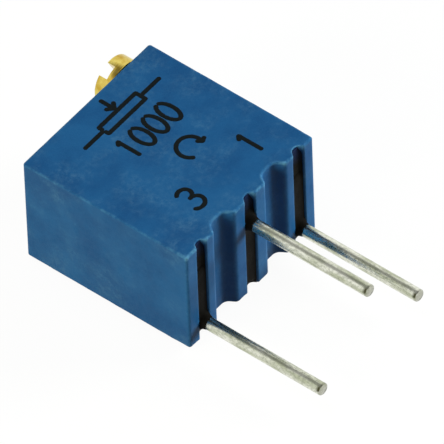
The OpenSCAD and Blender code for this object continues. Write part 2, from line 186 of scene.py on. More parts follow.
def roundedOutline(corners, steps, spacing):
    # fillets joined by straight runs, which get points of their own at the spacing
    fillets = []
    for k, (x, y, radius) in enumerate(corners):
        before, after = corners[k - 1], corners[(k + 1) % len(corners)]
        fillets.append(roundCorner(Vector(before[:2]), Vector((x, y)), Vector(after[:2]), radius, steps))
    made = []
    for k, fillet in enumerate(fillets):
        made += fillet
        (start, away), (end, _) = fillet[-1], fillets[(k + 1) % len(fillets)][0]
        count = math.ceil((end - start).length / spacing)
        made += [(start.lerp(end, j / count), away) for j in range(1, count)]
    return made


def rimDistance(points, rim):
    # distance of each point from a closed outline
    a, b = rim, numpy.roll(rim, -1, axis=0)
    run = b - a
    offset = points[:, None, :] - a[None, :, :]
    share = (offset * run).sum(-1) / (run ** 2).sum(-1)
    gap = offset - numpy.clip(share, 0, 1)[..., None] * run
    return numpy.sqrt((gap ** 2).sum(-1).min(1))


def flatCap(rim, band, spacing):
    # a flat face as fine triangles in staggered rows, with a narrow band along its rim
    values = outlineValues
    edge = numpy.array([tuple(p) for p, _ in rim])
    away = numpy.array([tuple(d) for _, d in rim])
    inner = edge - away * band
    inner = inner[rimDistance(inner, edge) > band * values["bandKept"]]
    low, high = edge.min(0), edge.max(0)
    grid = []
    for k, y in enumerate(numpy.arange(low[1] + spacing, high[1], spacing * values["rowStep"])):
        row = numpy.arange(low[0] + spacing * (0.5 + 0.5 * (k % 2)), high[0], spacing)
        grid += [(x, y) for x in row]
    grid = numpy.array(grid)
    grid = grid[rimDistance(grid, edge) > band + spacing * values["bandGap"]]
    count = len(edge)
    spots = [Vector(p) for p in numpy.concatenate([edge, inner, grid])]
    made = geometry.delaunay_2d_cdt(spots, [], [list(range(count))], 1, values["tolerance"])
    return made[0], made[2]


def ringFaces(rings, size, closed=True):
    faces = []
    for k in range(rings - 1):
        for j in range(size if closed else size - 1):
            a, b = k * size + j, k * size + (j + 1) % size
            faces.append((a, b, b + size, a + size))
    return faces


# Node trees, for materials and for geometry

def place(tree, kind, inputs=None, **settings):
    made = tree.nodes.new(kind)
    for name, value in settings.items():
        setattr(made, name, value)
    for name, value in (inputs or {}).items():
        socket = made.inputs[name]
        if isinstance(value, bpy.types.NodeSocket):
            tree.links.new(value, socket)
        else:
            socket.default_value = value
    return made


def output(tree, kind, inputs=None, **settings):
    return place(tree, kind, inputs, **settings).outputs[0]


def maths(tree, operation, first, second=0.0, clamp=False):
    inputs = {0: first, 1: second}
    return output(tree, "ShaderNodeMath", inputs, operation=operation, use_clamp=clamp)


def linear(value):
    # one channel from sRGB to linear light
    return value / 12.92 if value <= 0.04045 else ((value + 0.055) / 1.055) ** 2.4


def colour(red, green, blue):
    return linear(red / 255), linear(green / 255), linear(blue / 255), 1


def emptyTree(owner):
    owner.use_nodes = True
    owner.node_tree.nodes.clear()
    return owner.node_tree


def newMaterial(name, **sockets):
    material = bpy.data.materials.new(name)
    tree = emptyTree(material)
    named = {key.replace("_", " "): value for key, value in sockets.items()}
    shader = place(tree, "ShaderNodeBsdfPrincipled", named)
    place(tree, "ShaderNodeOutputMaterial", {"Surface": shader.outputs[0]})
    where = place(tree, "ShaderNodeTexCoord").outputs["Object"]
    where = output(tree, "ShaderNodeMapping", {"Vector": where, "Scale": (1 / mm,) * 3})
    return material, tree, shader, where


def grain(tree, where, scale, detail, rough, stretch=None):
    if stretch:
        where = output(tree, "ShaderNodeMapping", {"Vector": where, "Scale": stretch})
    inputs = {"Vector": where, "Scale": scale, "Detail": detail, "Roughness": rough}
    return output(tree, "ShaderNodeTexNoise", inputs)


def between(tree, value, low, high, newLow=0.0, newHigh=1.0):
    inputs = {"Value": value, "From Min": low, "From Max": high, "To Min": newLow, "To Max": newHigh}
    return output(tree, "ShaderNodeMapRange", inputs)


def blendColour(tree, amount, first, second):
    return place(tree, "ShaderNodeMix", {0: amount, 6: first, 7: second}, data_type="RGBA").outputs[2]


def mottled(tree, pattern, look):
    return blendColour(tree, between(tree, pattern, *look["span"]), *look["colours"])


def roughen(tree, shader, height, depth, strength, after=None):
    inputs = {"Height": height, "Strength": strength, "Distance": depth * mm}
    if after:
        inputs["Normal"] = after
    bumped = output(tree, "ShaderNodeBump", inputs)
    tree.links.new(bumped, shader.inputs["Normal"])
    return bumped


def paint(tree, shader, look, tint, shine, height):
    tree.links.new(tint, shader.inputs["Base Color"])
    tree.links.new(between(tree, shine, *look["roughness"]), shader.inputs["Roughness"])
    return roughen(tree, shader, height, *look["bump"])


def geometryTree(name, sizes):
    tree = bpy.data.node_groups.new(name, "GeometryNodeTree")
    tree.interface.new_socket("Geometry", in_out="INPUT", socket_type="NodeSocketGeometry")
    tree.interface.new_socket("Geometry", in_out="OUTPUT", socket_type="NodeSocketGeometry")
    for label in sizes:
        tree.interface.new_socket(label, in_out="INPUT", socket_type="NodeSocketFloat")
    return tree, tree.nodes.new("NodeGroupInput").outputs


def roundedEnd(tree, toEnd, length):
    # a quarter circle that runs from 0 at the end to 1 at the length
    left = maths(tree, "SUBTRACT", 1.0, maths(tree, "DIVIDE", toEnd, length), clamp=True)
    return maths(tree, "SQRT", maths(tree, "SUBTRACT", 1.0, maths(tree, "MULTIPLY", left, left)))


def strokeTree(name, look):
    # a curve with even points, the way from its start and to its end, and a ring to sweep
    tree, size = geometryTree(name, look["tree"])
    curve = output(tree, "GeometryNodeResampleCurve",
                   {"Curve": size["Geometry"], "Length": size["Point Spacing"]}, mode="LENGTH")
    along = place(tree, "GeometryNodeSplineParameter").outputs["Length"]
    total = place(tree, "GeometryNodeSplineLength").outputs["Length"]
    ring = output(tree, "GeometryNodeCurvePrimitiveCircle", {"Resolution": look["around"]})
    return tree, size, curve, along, maths(tree, "SUBTRACT", total, along), ring


def sweep(tree, curve, profile, scale=1.0):
    inputs = {"Curve": curve, "Profile Curve": profile, "Scale": scale, "Fill Caps": True}
    return output(tree, "GeometryNodeCurveToMesh", inputs)


def unevenness(tree, scale):
    spot = output(tree, "GeometryNodeInputPosition")
    return output(tree, "ShaderNodeTexNoise", {"Vector": spot, "Scale": scale})


def endTree(tree, geometry, material):
    geometry = output(tree, "GeometryNodeRealizeInstances", {"Geometry": geometry})
    geometry = output(tree, "GeometryNodeSetMaterial", {"Geometry": geometry, "Material": material})
    place(tree, "NodeGroupOutput", {"Geometry": geometry})
    return tree


def growFrom(obj, tree, sizes):
    modifier = obj.modifiers.new(tree.name, "NODES")
    modifier.node_group = tree
    for item in tree.interface.items_tree:
        if item.in_out == "INPUT" and item.name in sizes:
            modifier[item.identifier] = float(sizes[item.name])
    obj = settle(obj)
    tidyMesh(obj.data)
    return obj


def pathObject(name, paths):
    curve = bpy.data.curves.new(name, "CURVE")
    curve.dimensions = "3D"
    for path in paths:
        spline = curve.splines.new("POLY")
        spline.points.add(len(path) - 1)
        for point, target in zip(spline.points, path):
            point.co = (*(Vector(target) * mm), 1)
    return addObject(name, curve)


# Housing: moulded blue plastic

housingValues = {
    # colours of the ground, then of pale grain, dust, and edges that are partly rubbed and partly a painted
    # highlight
    "colours": (colour(19, 65, 112), colour(26, 78, 126)), "pale": colour(36, 90, 134),
    "dust": colour(92, 132, 158), "wornAndHighlit": colour(84, 138, 172), "shine": 0.1,
    # noises: scale, detail, roughness; spans: from, to and what that gives
    "patch": (0.45, 5, 0.6), "span": (0.4, 0.6),
    "fine": (26.0, 3, 0.6), "fineSpan": (0.35, 0.75, 0, 0.35), "bump": (0.006, 0.4),
    "speck": (5.0, 6, 0.75), "speckSpan": (0.42, 0.75, 0, 0.35), "roughness": (0.3, 0.8, 0.42, 0.62),
    "smear": (0.8, 5, 0.65), "smearSpan": (0.45, 0.66),
    "rub": (3.5, 4, 0.65), "rubSpan": (0.42, 0.66, 0.08, 0.8),
    "wave": (3.0, 4, 0.6), "waveBump": (0.02, 0.3),
    # rounded edges, and how much their radius wanders
    "edgeRound": 0.052, "ribEdgeRound": 0.075, "cornerRound": 0.1, "edgeWander": 0.25,
    "wanderScale": 2.6, "wanderSeed": 5.0,
    # terminal slots; trims bring a slot's -X and +X wall nearer its middle
    "slotWidth": 0.52, "slotDepth": 0.42, "slotMouthRound": 0.075, "slotFloorRound": 0.24,
    "floorRoundMost": 0.46, "slotTrims": ((0.03, 0.02), (0.0, 0.0), (0.01, -0.02)),
    # slots get shallower and narrower towards the marked face
    "rampDrop": 0.55, "rampShare": 0.5, "topNarrow": 0.3, "topNarrowDepth": 0.3,
    # broad grooves; the two ribs beside the middle slot are broader than their neighbours
    "grooveWidth": 1.22, "grooveDepth": 0.37, "grooveLean": 0.22, "grooveMouthRound": 0.19,
    "grooveFloorRound": 0.3, "middleRibExtra": 0.15,
    # hollow inside: gaps and overlaps of the cuts
    "toolOverhang": 0.1, "wallGap": 0.08, "cutStep": 0.01, "wireWayBite": 0.06,
    # mesh: fillet steps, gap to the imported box, spacings, wall rings from edge radii
    "roundSteps": 6, "skin": 0.001, "pointSpacing": 0.09, "capBand": 0.04, "capSpacing": 0.16,
    "wallRings": 44, "wallStart": 1.5, "sharpFrom": 35,
    # edges, partly rubbed and partly a painted highlight that is strongest on the marked face: strength by
    # place, size of the band, and the bend in radians that counts in full
    "topWearAndHighlight": 1.0, "sideWearAndHighlight": 0.15, "backWearAndHighlight": 0.3, "farWearAndHighlight": 0.35, "ribWearLength": 0.5,
    "wearAndHighlightBand": 0.12, "bendMost": 0.3, "bendFull": 0.52,
}


def housingMaterial():
    look = housingValues
    material, tree, shader, where = newMaterial("housingBlue", IOR=1.5, Specular_IOR_Level=look["shine"])
    patch, speck, fine, smear, rub, wave = (
        grain(tree, where, *look[name]) for name in ("patch", "speck", "fine", "smear", "rub", "wave"))
    tint = mottled(tree, patch, look)
    tint = blendColour(tree, between(tree, fine, *look["fineSpan"]), tint, look["pale"])
    dusty = maths(tree, "MULTIPLY", between(tree, speck, *look["speckSpan"]),
                  between(tree, smear, *look["smearSpan"]))
    tint = blendColour(tree, dusty, tint, look["dust"])
    # painted highlight with real wear: convex edges turn pale, most on the marked face
    edge = place(tree, "ShaderNodeAttribute", attribute_name="edgeWearAndHighlight").outputs["Fac"]
    rubbedAndHighlit = maths(tree, "MULTIPLY", edge, between(tree, rub, *look["rubSpan"]))
    tint = blendColour(tree, rubbedAndHighlit, tint, look["wornAndHighlit"])
    grained = paint(tree, shader, look, tint, speck, fine)
    roughen(tree, shader, wave, *look["waveBump"], after=grained)
    return material


def slotWalls():
    # both walls of each slot, from -X to +X
    half = housingValues["slotWidth"] / 2
    return [(x - half + left, x + half - right)
            for (x, _), (left, right) in zip(wires, housingValues["slotTrims"])]


def nearestSlot(x):
    # how far outside the nearest slot x lies, and where that slot's middle is
    return min((max(left - x, x - right), (left + right) / 2) for left, right in slotWalls())


def seatCorners():
    # the ridged side from -X to +X: a slot for each terminal with a broad groove between
    size = housingValues
    base, floor = seatY + size["skin"], seatY + size["slotDepth"]
    mouth, brim = size["slotMouthRound"], size["grooveMouthRound"]
    grooveFloor, grooveRound = seatY + size["grooveDepth"], size["grooveFloorRound"]
    made = []
    for k, (left, right) in enumerate(slotWalls()):
        floorRound = min(size["slotFloorRound"], (right - left) * size["floorRoundMost"])
        made += [(left, base, mouth), (left, floor, floorRound),
                 (right, floor, floorRound), (right, base, mouth)]
        if k < 2:
            middle, half = wires[k][0] + pitch / 2, size["grooveWidth"] / 2
            left = middle - half + (size["middleRibExtra"] if k == 1 else 0)
            right = middle + half - (size["middleRibExtra"] if k == 0 else 0)
            made += [(left, base, brim), (left + size["grooveLean"], grooveFloor, grooveRound),
                     (right - size["grooveLean"], grooveFloor, grooveRound), (right, base, brim)]
    return made


def nearTop(level):
    # runs from 0 to 1 where the slots change towards the marked face
    return smoothStep(1 - (thick - level) / housingValues["rampDrop"])


def slotDepthAt(y, level):
    return y - (y - seatY) * housingValues["rampShare"] * nearTop(level)


def edgeBends(outline, atTop):
    # the radius of the top or bottom edge at each point of the outline
    size = housingValues
    bends = []
    for spot, _ in outline:
        nearRibs = smoothStep(1 - (spot.y - seatY - size["grooveDepth"]) / size["ribWearLength"])
        nearRibs *= smoothStep(nearestSlot(spot.x)[0] / size["slotMouthRound"] - 1)
        bend = size["edgeRound"] + (size["ribEdgeRound"] - size["edgeRound"]) * nearRibs
        wander = noise.noise((*(spot * size["wanderScale"]), size["wanderSeed"] * atTop))
        bends.append(bend * (1 + size["edgeWander"] * wander))
    return bends


def housingShell():
    # rings of one outline, pulled in round the top and bottom edges, between two flat caps
    size = housingValues
    x, skin, outer, steps = width / 2 - size["skin"], size["skin"], size["cornerRound"], size["roundSteps"]
    corners = [(-x, seatY + skin, outer), *seatCorners(), (x, seatY + skin, outer),
               (x, faceY - skin, outer), (-x, faceY - skin, outer)]
    outline = roundedOutline(corners, steps, size["pointSpacing"])
    bends = [edgeBends(outline, atTop) for atTop in (0, 1)]
    low, high = size["ribEdgeRound"] * size["wallStart"], thick - size["ribEdgeRound"] * size["wallStart"]
    walls = [low + (high - low) * k / size["wallRings"] for k in range(size["wallRings"] + 1)]
    levels = [(0, k, None) for k in range(steps + 1)] + [(0, steps, z) for z in walls]
    levels += [(1, k, None) for k in range(steps, -1, -1)]
    points, rims = [], []
    for atTop, k, z in levels:
        angle = math.pi / 2 * k / steps
        ring = []
        for (spot, away), bend in zip(outline, bends[atTop]):
            inset = bend * (1 - math.sin(angle)) if z is None else 0
            drop = bend * (1 - math.cos(angle)) + skin
            level = z if z is not None else thick - drop if atTop else drop
            x, y = spot.x - away.x * inset, spot.y - away.y * inset
            fromSlot, middle = nearestSlot(spot.x)
            if fromSlot < size["slotMouthRound"] and y < seatY + 2 * size["slotDepth"]:
                narrow = size["topNarrow"] * smoothStep((y - seatY) / size["topNarrowDepth"])
                x += (middle - x) * narrow * nearTop(level)
                y = slotDepthAt(y, level)
            ring.append((x, y, level))
        points += ring
        if k == 0:
            rims.append([(Vector(p[:2]), away) for p, (_, away) in zip(ring, outline)])
    faces = ringFaces(len(levels), len(outline))
    for rim, level in zip(rims, (skin, thick - skin)):
        start = len(points)
        spots, triangles = flatCap(rim, size["capBand"], size["capSpacing"])
        points += [(*spot, level) for spot in spots]
        faces += [tuple(start + j for j in triangle) for triangle in triangles]
    return addObject("housingShell", tidyMesh(meshFrom("housingShell", points, faces)))


def markWearAndHighlight(obj):
    # how strongly each point is rounded outwards, for the edges that are partly rubbed and partly a painted
    # highlight
    size = housingValues
    work = bmesh.new()
    work.from_mesh(obj.data)
    bends = []
    for vert in work.verts:
        bend = 0
        for edge in vert.link_edges:
            if len(edge.link_faces) == 2:
                bend += min(max(0, edge.calc_face_angle_signed(0)), size["bendMost"])
        y, z = vert.co.y / mm, vert.co.z / mm
        nearRibs = smoothStep(1 - (y - seatY) / size["ribWearLength"])
        share = size["sideWearAndHighlight"]
        if min(z, thick - z) < size["wearAndHighlightBand"]:
            share = size["topWearAndHighlight"] if z > thick / 2 else size["backWearAndHighlight"]
        share *= size["farWearAndHighlight"] + (1 - size["farWearAndHighlight"]) * nearRibs
        bends.append(min(1, bend / size["bendFull"]) * share)
    work.free()
    wear = obj.data.attributes.new("edgeWearAndHighlight", "FLOAT", "POINT")
    wear.data.foreach_set("value", bends)


def makeHousing(material):
    # the hollow inside is what the model's own solid leaves empty behind the ridged wall
    size = housingValues
    housing = housingShell()
    solid = addObject("housingSolid", tidyMesh(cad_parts["housing"].data.copy(), outwards=False))
    floorY, over, step = seatY + size["slotDepth"], size["toolOverhang"], size["cutStep"]
    side = width / 2 - over
    hollow = block("hollow", (-side, floorY + step, -over), (side, faceY + over, thick - over))
    cut(housing, cut(hollow, solid))
    half, wallY = size["slotWidth"] / 2, substrateLow.y - size["wallGap"]
    for x, z in wires:
        low, high = (x - half, floorY - size["wireWayBite"], -over), (x + half, wallY + step, z + half)
        cut(housing, block("wireWay", low, high))
    markWearAndHighlight(housing)
    finishPiece(housing, "case", material, size["sharpFrom"], ["housing"])


makeHousing(housingMaterial())
print("housing done")


# Potting resin: a column in each slot, which runs on as a thin dark sheet of painted shade up the slot
# floor, and the fill behind the substrate

resinValues = {
    # colours, and a dark blue painted shade on the thin sheet at a slot's upper end, standing for the
    # shaded blue slot walls
    "colours": (colour(9, 9, 8), colour(20, 18, 15)), "film": colour(24, 36, 66), "filmReach": 0.85,
    "cloud": (1.3, 4, 0.6), "span": (0.3, 0.7), "shine": 0.03,
    "fine": (18.0, 3, 0.6), "roughness": (0.3, 0.7, 0.45, 0.7), "bump": (0.006, 0.5),
    # how far the resin stands behind the ridges: mid slot, at its walls, and more near the back
    "recess": 0.1, "wallRecess": 0.07, "backSink": 0.15, "backLength": 0.3,
    # the curve between mid slot and walls, and what is added to it at the upper end
    "hollowPower": 3, "topPower": 7,
    "ripple": 0.012, "rippleScale": 1.7, "rippleShift": 3, "rippleSeed": 2,
    # upper end: the outer columns' drop from the marked face and how far they sink, then the thin dark
    # sheet of painted shade that each column becomes on the slot floor, and where it stops below the marked
    # face
    "openTop": 1.3, "topSink": 0.07, "topRound": 0.4, "filmEnd": 0.05, "filmThick": 0.05,
    # collar that climbs along each wire
    "wireClimb": 0.24, "wireClimbReach": 0.05,
    # fill at the back, slightly hollow, and in the ways of the wires behind the slots
    "fillDish": 0.06, "fillEdge": 0.35, "fillStep": 0.12, "backSkin": 0.002,
    "dishWander": 0.3, "dishScale": 0.9, "dishSeed": 7,
    "wayDish": 0.02, "wayEdge": 0.175, "wayStep": 0.08, "wayFront": 0.05, "wayBack": 0.02, "wayGap": 0.01,
    # mesh: how far the resin is bedded in the housing, points across and rings along a column
    "bed": 0.004, "across": 24, "along": 120, "sharpFrom": 50,
}


def resinMaterial():
    look = resinValues
    material, tree, shader, where = newMaterial("pottingBlackAndPaintedShade", IOR=1.5, Specular_IOR_Level=look["shine"])
    fine = grain(tree, where, *look["fine"])
    tint = mottled(tree, grain(tree, where, *look["cloud"]), look)
    # painted shade: towards the marked face the sheet turns dark blue, like the blue slot walls in shade
    level = place(tree, "ShaderNodeSeparateXYZ", {0: where}).outputs[2]
    filmed = between(tree, level, thick - look["filmReach"], thick)
    tint = blendColour(tree, filmed, tint, look["film"])
    paint(tree, shader, look, tint, fine, fine)
    return material


def resinColumn(x, wireZ, walls, top):
    # each ring runs across the hollow front and back along the slot's floor
    size = resinValues
    left, right = walls
    centre, half = (left + right) / 2, (right - left) / 2 + size["bed"]
    floor = seatY + housingValues["slotDepth"] + size["bed"]
    low, reach, filmTop = size["backSkin"], size["topRound"], thick - size["filmEnd"]
    points = []
    for k in range(size["along"] + 1):
        z = low + (filmTop - low) * k / size["along"]
        front = seatY + size["recess"] + size["backSink"] * (1 - smoothStep(z / size["backLength"]))
        over = min(1, max(0, (z - top + reach) / reach))
        front += size["topSink"] * (1 - math.sqrt(max(0, 1 - over * over)))
        # above the resin the column thins to a dark sheet on the slot floor, painted shade for the shaded
        # upper slot
        front = min(front, slotDepthAt(floor, z) - size["filmThick"])
        for j in range(size["across"] + 1):
            side = 2 * j / size["across"] - 1
            spot = (x * size["rippleShift"] + side, z * size["rippleScale"], size["rippleSeed"])
            y = front + noise.noise(spot) * size["ripple"] * (1 - side ** 2)
            power = size["hollowPower"] + size["topPower"] * over
            y += (seatY + size["wallRecess"] - front) * abs(side) ** power
            fromWire = math.hypot(centre + side * half - x, z - wireZ) - wireRadius
            y -= (y - seatY + size["wireClimb"]) * math.exp(-max(0, fromWire) / size["wireClimbReach"])
            points.append((centre + side * half, min(y, floor - size["bed"]), z))
        points += [(centre + half, floor, z), (centre - half, floor, z)]
    count = size["across"] + 3
    rings = size["along"] + 1
    faces = ringFaces(rings, count)
    faces += [tuple(range(count - 1, -1, -1)), tuple(range((rings - 1) * count, rings * count))]
    return tidyMesh(meshFrom("resinColumn", points, faces))


def resinSlab(low, high, dish, edge, step):
    # a block with a slightly hollow lower face
    size = resinValues
    across = max(2, round((high.x - low.x) / step))
    along = max(2, round((high.y - low.y) / step))
    points = []
    for k in range(along + 1):
        for j in range(across + 1):
            x = low.x + (high.x - low.x) * j / across
            y = low.y + (high.y - low.y) * k / along
            rim = min(x - low.x, high.x - x, y - low.y, high.y - y)
            spot = (x * size["dishScale"], y * size["dishScale"], size["dishSeed"])
            wander = 1 + noise.noise(spot) * size["dishWander"]
            points.append((x, y, low.z + dish * smoothStep(rim / edge) * wander))
    count = across + 1
    faces = [tuple(reversed(face)) for face in ringFaces(along + 1, count, closed=False)]
    last = along * count
    rim = [*range(across), *range(across, last, count)]
    rim += [*range(last + across, last, -1), *range(last, 0, -count)]
    start = len(points)
    points += [(points[j][0], points[j][1], high.z) for j in rim]
    for k in range(len(rim)):
        after = (k + 1) % len(rim)
        faces.append((rim[k], rim[after], start + after, start + k))
    faces.append(tuple(range(start, start + len(rim))))
    return tidyMesh(meshFrom("resinSlab", points, faces))


def makeResin(material):
    size = resinValues
    bed, half = size["bed"], housingValues["slotWidth"] / 2
    floorY, wallY = seatY + housingValues["slotDepth"], substrateLow.y - housingValues["wallGap"]
    low = Vector((-resinHigh.x - bed, wallY - bed, size["backSkin"]))
    high = Vector((resinHigh.x + bed, resinHigh.y + bed, substrateLow.z - bed))
    work = bmesh.new()
    work.from_mesh(resinSlab(low, high, size["fillDish"], size["fillEdge"], size["fillStep"]))
    outerTop = thick - size["openTop"]
    for (x, z), walls, top in zip(wires, slotWalls(), (outerTop, resinHigh.z, outerTop)):
        work.from_mesh(resinColumn(x, z, walls, top))
        low = Vector((x - half, floorY - size["wayFront"], size["backSkin"]))
        high = Vector((x + half, wallY + size["wayBack"], z + half - size["wayGap"]))
        work.from_mesh(resinSlab(low, high, size["wayDish"], size["wayEdge"], size["wayStep"]))
    resin = addObject("pottingFillAndShadeSheet", meshOf("pottingFillAndShadeSheet", work))
    finishPiece(resin, "case", material, size["sharpFrom"], ["potting_resin"])


makeResin(resinMaterial())
print("resin done")


# Terminals: round tinned wire

terminalValues = {
    # inputs of the wire's node tree, which rounds the tip by a share of the radius
    "tree": {"Radius": wireRadius * mm, "Tip Length": 0.07 * mm, "Tip Share": 0.2,
             "Lump Height": 0.006 * mm, "Point Spacing": 0.03 * mm},
    "lumpScale": 2.6 / mm, "lumpMiddle": 0.62, "around": 40, "sharpFrom": 45,
    # the middle wire's bend inside the case, and how far its leg stands back
    "bendRadius": 0.35, "bendSteps": 8, "legBack": 0.01,
    # tin: drawn streaks and specks, each scale, detail, roughness and stretch
    "colours": (colour(190, 195, 168), colour(240, 241, 226)), "speck": colour(150, 155, 136),
    "streak": (5.0, 3, 0.5, (1, 0.22, 1)), "span": (0.35, 0.65), "bump": (0.008, 0.3),
    "fine": (16.0, 3, 0.6, (1, 0.6, 1)), "fineSpan": (0.45, 0.65, 0.0, 0.5),
    "roughness": (0.3, 0.7, 0.18, 0.36),
    # sheared end: where the cut face starts, then painted shade: a dark ring behind it and a dark crescent
    # on one side of the tip
    "cutFace": colour(160, 160, 148), "cutStart": (0.012, 0.03), "cutSpan": (0.0, 1.0, 0.6, 0.0),
    "paintedTipShade": colour(78, 78, 54), "shadeRingEnd": (0.06, 0.12, 0.4, 0.0), "shadeCrescentEnd": (0.1, 0.2, 1.0, 0.0),
    "shadedSide": (-0.81, 0, 0.59), "shadedSideSpan": (0.8, 0.97),
}


def tinMaterial():
    look = terminalValues
    material, tree, shader, where = newMaterial("tinnedWire", Metallic=1.0)
    streak = grain(tree, where, *look["streak"])
    fine = grain(tree, where, *look["fine"])
    tint = mottled(tree, streak, look)
    tint = blendColour(tree, between(tree, fine, *look["fineSpan"]), tint, look["speck"])
    along = place(tree, "ShaderNodeSeparateXYZ", {0: where}).outputs[1]
    fromTip = maths(tree, "SUBTRACT", along, outerLow.y)
    started = between(tree, fromTip, *look["cutStart"])
    # painted shade at the tip: a dark ring behind the cut face and a dark crescent on one side
    facing = place(tree, "ShaderNodeNewGeometry").outputs["Normal"]
    shadedSide = place(tree, "ShaderNodeVectorMath", {0: facing, 1: look["shadedSide"]},
                      operation="DOT_PRODUCT").outputs["Value"]
    shadeCrescent = maths(tree, "MULTIPLY", between(tree, shadedSide, *look["shadedSideSpan"]),
                    between(tree, fromTip, *look["shadeCrescentEnd"]))
    tipShade = maths(tree, "MAXIMUM", between(tree, fromTip, *look["shadeRingEnd"]), shadeCrescent)
    tipShade = maths(tree, "MULTIPLY", started, tipShade)
    tint = blendColour(tree, between(tree, started, *look["cutSpan"]), tint, look["cutFace"])
    tint = blendColour(tree, tipShade, tint, look["paintedTipShade"])
    paint(tree, shader, look, tint, fine, streak)
    return material


def terminalTree(material):
    look = terminalValues
    tree, size, curve, _, toEnd, ring = strokeTree("tinnedTerminal", look)
    rounded = roundedEnd(tree, toEnd, size["Tip Length"])
    thinner = maths(tree, "MULTIPLY", maths(tree, "SUBTRACT", 1.0, rounded), size["Tip Share"])
    radius = maths(tree, "MULTIPLY", maths(tree, "SUBTRACT", 1.0, thinner), size["Radius"])
    lumps = maths(tree, "SUBTRACT", unevenness(tree, look["lumpScale"]), look["lumpMiddle"])
    rise = maths(tree, "MULTIPLY", lumps, size["Lump Height"])
    facing = output(tree, "GeometryNodeInputNormal")
    shift = output(tree, "ShaderNodeVectorMath", {0: facing, "Scale": rise}, operation="SCALE")
    wire = sweep(tree, curve, ring, radius)
    wire = output(tree, "GeometryNodeSetPosition", {"Geometry": wire, "Offset": shift})
    return endTree(tree, wire, material)


def middlePath():
    # up the leg behind the slot, round the bend and out to the tip
    bend, steps = terminalValues["bendRadius"], terminalValues["bendSteps"]
    legY = middleHigh.y - wireRadius + terminalValues["legBack"]
    path = [(0, legY, middleLow.z)]
    for k in range(steps + 1):
        angle = math.pi / 2 * k / steps
        path.append((0, legY - bend + bend * math.cos(angle), middleZ - bend + bend * math.sin(angle)))
    return path + [(0, outerLow.y, middleZ)]


def makeTerminals(material):
    look, tree = terminalValues, terminalTree(material)
    for number, x in ((1, pitch), (2, 0), (3, -pitch)):
        path = middlePath() if number == 2 else [(x, outerHigh.y, outerZ), (x, outerLow.y, outerZ)]
        terminal = growFrom(pathObject(f"terminal{number}", [path]), tree, look["tree"])
        node = f"terminal_pin_{number}"
        finishPiece(terminal, "case", material, look["sharpFrom"], [node])


makeTerminals(tinMaterial())
print("terminals done")


# Adjustment screw: turned brass with a driver slot, and its worm thread

threadValues = {
    # inputs of the thread's node tree
    "tree": {"Core": 0.36 * mm, "Lead": 0.5376 * mm, "Turns": 5.58, "Crest": 0.7 * mm,
             "Foot Width": 0.356 * mm, "Crest Width": 0.13 * mm},
    "around": 48, "sharpFrom": 30,
}
screwValues = {
    # brass: turning rings and tarnish, each scale, detail and roughness
    "colours": (colour(232, 214, 116), colour(194, 156, 44)), "rings": (22.0, 3, 0.6), "bump": (0.006, 0.6),
    "tarnish": (2.4, 4, 0.6), "span": (0.35, 0.7), "roughness": (0.3, 0.7, 0.08, 0.18),
    # head, shank and core
    "headThick": 0.6, "headRound": 0.06, "underRound": 0.09, "shank": 0.71, "core": 0.39, "tailEnd": 0.08,
    "threadEnd": 0.1, "shankCone": 0.1, "edgeRound": 0.01, "shoulderRound": 0.02, "roundSteps": 5,
    # grooves for the retaining clip and for the seal, each with its play
    "neck": 0.43, "clipPlay": 0.025, "sealBed": 0.51, "sealPlay": 0.045,
    # driver slot in the head, and its bevelled edges
    "driverWidth": 0.5, "driverDepth": 0.34, "driverTurn": 26.0,
    "bevel": 0.018, "bevelSteps": 3, "bevelAngle": 50, "around": 96, "sharpFrom": 35,
}


def brassMaterial():
    look = screwValues
    material, tree, shader, where = newMaterial("turnedBrass", Metallic=1.0)
    centred = output(tree, "ShaderNodeMapping", {"Vector": where, "Location": (-screwX, 0, -screwZ)})
    across, along, upwards = place(tree, "ShaderNodeSeparateXYZ", {0: centred}).outputs
    outward = maths(tree, "SQRT", maths(tree, "ADD", maths(tree, "MULTIPLY", across, across),
                                        maths(tree, "MULTIPLY", upwards, upwards)))
    rings = output(tree, "ShaderNodeCombineXYZ", {0: outward, 1: along})
    tarnish = grain(tree, where, *look["tarnish"])
    paint(tree, shader, look, mottled(tree, tarnish, look), tarnish, grain(tree, rings, *look["rings"]))
    return material


def screwProfile():
    # radius and height along the axis, from the tail to the top of the head
    size = screwValues
    clipLow, clipHigh = nodeBox("screw_retaining_clip")
    sealLow, sealHigh = nodeBox("screw_seal_ring")
    tailY, headY, shank, small = screwLow.y, screwHigh.y, size["shank"], size["edgeRound"]
    under, bed = headY - size["headThick"], size["sealBed"]
    neckY, neckEndY = clipLow.y - size["clipPlay"], clipHigh.y + size["clipPlay"]
    bedY, bedEndY = sealLow.y - size["sealPlay"], sealHigh.y + size["sealPlay"]
    thread = threadValues["tree"]
    shankY = thread["Lead"] / mm * thread["Turns"] / 2 + size["threadEnd"]
    corners = [
        (0, tailY, 0), (size["core"], tailY, size["tailEnd"]), (size["core"], shankY, 0),
        (shank, shankY + size["shankCone"], 0), (shank, neckY, small),
        (size["neck"], neckY, 0), (size["neck"], neckEndY, 0), (shank, neckEndY, small),
        (shank, bedY, small), (bed, bedY, 0), (bed, bedEndY, 0), (shank, bedEndY, small),
        (shank, under, size["shoulderRound"]), (headRadius, under, size["underRound"]),
        (headRadius, headY, size["headRound"]), (0, headY, 0)]
    spots = [Vector(corner[:2]) for corner in corners]
    profile = [spots[0]]
    for k in range(1, len(corners) - 1):
        rounded = roundCorner(spots[k - 1], spots[k], spots[k + 1], corners[k][2], size["roundSteps"])
        profile += [spot for spot, _ in rounded]
    return profile + [spots[-1]]


